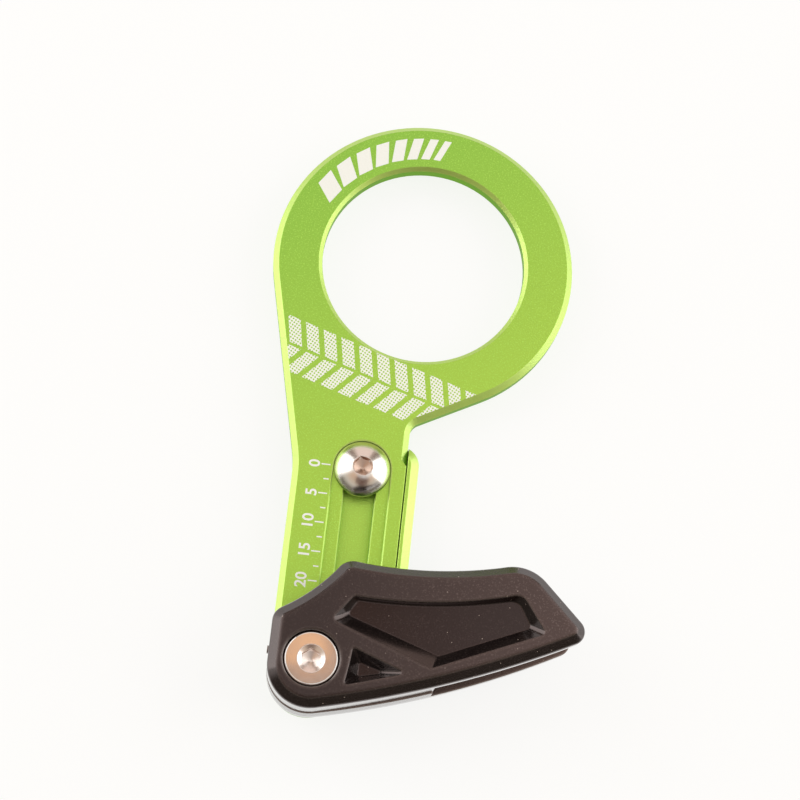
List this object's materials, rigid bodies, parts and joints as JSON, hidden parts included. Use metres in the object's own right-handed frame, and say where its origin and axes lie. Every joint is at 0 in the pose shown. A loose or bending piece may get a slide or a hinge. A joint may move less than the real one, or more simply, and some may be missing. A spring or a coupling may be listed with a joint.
{
  "type": "bicycle chain guide",
  "caption": "Bottom-bracket-mounted bicycle chain guide: slotted ring plate, sliding bracket clamped by a screw, and a two-half moulded cage that keeps the chain on a single chainring.",
  "frame": {"origin": "centre of the bottom-bracket hole, on the ring's frame-side face", "axes": "+Z along the hole's axis, away from the frame; -Y along the slot, the way the guide slides out"},
  "size_m": [0.0576, 0.1064, 0.0191],
  "materials": {
    "green_anodised_aluminium": "bead blasted and anodised bright green",
    "black_nylon": "moulded, fine grain, slightly glossy",
    "stainless_screw": "polished"
  },
  "bodies": {
    "mount": {"bb_ring_plate": "green_anodised_aluminium"},
    "slider": {"slider_arm": "green_anodised_aluminium", "height_bolt": "stainless_screw", "cage_outer_half": "black_nylon", "cage_inner_half": "black_nylon", "cage_bolt": "stainless_screw"}
  },
  "joints": [
    {"name": "height_slide", "type": "slide", "parent": "mount", "child": "slider", "axis": [0, -1, 0], "range_m": [0, 0.02]}
  ]
}
